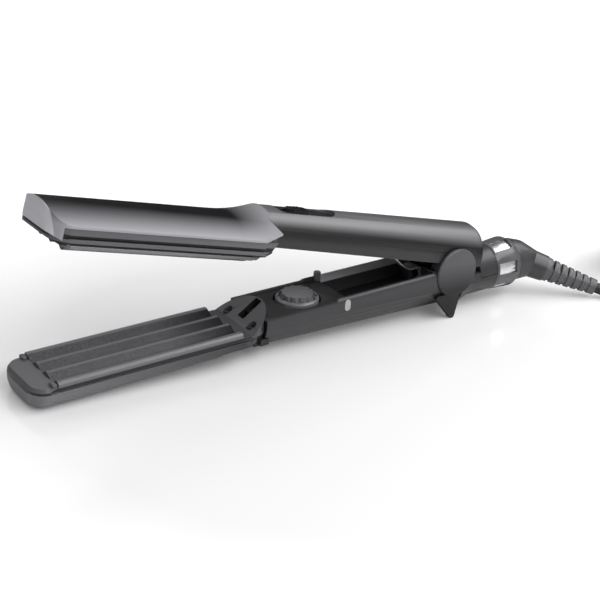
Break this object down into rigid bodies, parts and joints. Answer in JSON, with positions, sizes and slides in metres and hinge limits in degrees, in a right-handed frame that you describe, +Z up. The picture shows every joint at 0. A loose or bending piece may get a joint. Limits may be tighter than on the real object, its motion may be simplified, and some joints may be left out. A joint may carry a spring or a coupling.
{
  "type": "hair crimper",
  "caption": "Handheld electric hair crimper: two hinged arms with corrugated heated plates, a temperature dial, a slide switch and a swivel cord.",
  "frame": {"origin": "middle of the floor area that the crimper covers without its cord, where it rests on its nose and its two hinge feet", "axes": "+X from the tip of the plates to the cord outlet, +Y across the plates, +Z up"},
  "size_m": [0.4541, 0.0811, 0.0934],
  "materials": {
    "shell": "satin",
    "frame": "satin",
    "plate_coating": "satin",
    "ceramic": "matte",
    "spring_steel": "satin",
    "steel": "satin",
    "deck": "satin",
    "black_plastic": "matte",
    "board": "satin",
    "dial": "satin",
    "lens": "gloss",
    "hinge_cap": "satin",
    "bronze": "satin",
    "cord": "matte",
    "plug": "matte",
    "collar": "satin",
    "bright_ring": "polished",
    "pins": "polished",
    "bush": "satin"
  },
  "bodies": {
    "lower_arm": {"lower_head_shell": "shell", "lower_plate_frame": "frame", "lower_crimp_plate": "plate_coating", "lower_heater": "ceramic", "lower_heater_clip": "spring_steel", "lower_thermostat": "steel", "lower_handle_shell": "shell", "lower_deck": "deck", "channel_cover": "black_plastic", "control_board": "board", "dial_potentiometer": "black_plastic", "pilot_lens": "lens", "ramp_screws": "steel", "hinge_pin": "steel", "hinge_cover_near": "hinge_cap", "hinge_cover_far": "hinge_cap", "opening_spring": "spring_steel", "inner_lead": "cord", "rear_top_cover": "shell", "collar_sleeve": "collar", "collar_ring": "bright_ring", "swivel_bush": "bush", "power_cord": "cord", "cord_coil": "cord", "plug_body": "plug", "plug_pins": "pins"},
    "upper_arm": {"upper_head_shell": "shell", "upper_plate_frame": "frame", "upper_crimp_plate": "plate_coating", "upper_heater": "ceramic", "upper_heater_clip": "spring_steel", "upper_fuse": "steel", "upper_handle_shell": "shell", "upper_handle_cover": "black_plastic", "switch_panel": "black_plastic", "switch_body": "black_plastic", "upper_cover_screws": "steel", "hinge_bushes": "bronze"},
    "dial": {"temperature_dial": "dial"},
    "switch": {"power_switch": "dial"},
    "swivel": {"swivel_elbow": "collar", "strain_relief": "plug"}
  },
  "joints": [
    {"name": "arm_hinge", "type": "hinge", "parent": "lower_arm", "child": "upper_arm", "pos_m": [0.08276, 0, 0.02559], "axis": [0, -1, 0], "range_deg": [0, 15.2], "stiffness_Nm_per_rad": 0.5, "springref_deg": -45.84, "deforming": ["opening_spring"]},
    {"name": "temperature_dial_turn", "type": "hinge", "parent": "lower_arm", "child": "dial", "pos_m": [-0.0076, 0, 0.0205], "axis": [-0.0475, 0, 0.9989], "range_deg": [0, 270]},
    {"name": "power_switch_slide", "type": "slide", "parent": "upper_arm", "child": "switch", "axis": [-0.9733, 0, 0.2297], "range_m": [0, 0.005]},
    {"name": "cord_swivel", "type": "hinge", "parent": "lower_arm", "child": "swivel", "pos_m": [0.12516, 0, 0.0181], "axis": [0.9989, 0, 0.0475], "continuous": true}
  ]
}
